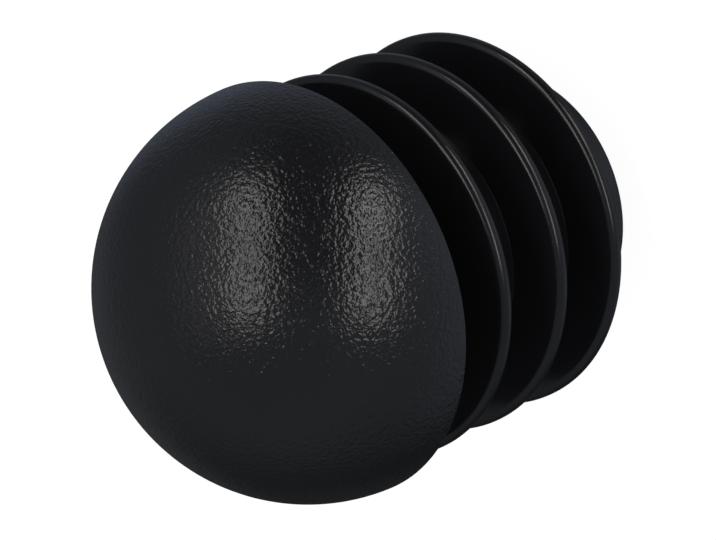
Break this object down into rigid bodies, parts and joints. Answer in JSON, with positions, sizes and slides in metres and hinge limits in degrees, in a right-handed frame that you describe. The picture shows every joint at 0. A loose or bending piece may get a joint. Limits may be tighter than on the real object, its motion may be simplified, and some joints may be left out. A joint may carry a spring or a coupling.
{
  "type": "furniture glide",
  "caption": "Domed tube insert glide: a half-ball head with a flat shoulder on a hollow shank with thin round fins, which presses into the open end of a round tube.",
  "frame": {"origin": "on the axis, in the plane of the open tail end that the part stands on", "axes": "+Z along the axis from the tail end to the dome's crown; X and Y are free, because the part is round"},
  "size_m": [0.025, 0.025, 0.0317],
  "materials": {
    "black_plastic": "satin moulded polyethylene, with a fine spark-eroded grain on the dome and smooth fins and shank"
  },
  "bodies": {
    "root": {"domed_insert": "black_plastic"}
  },
  "joints": []
}
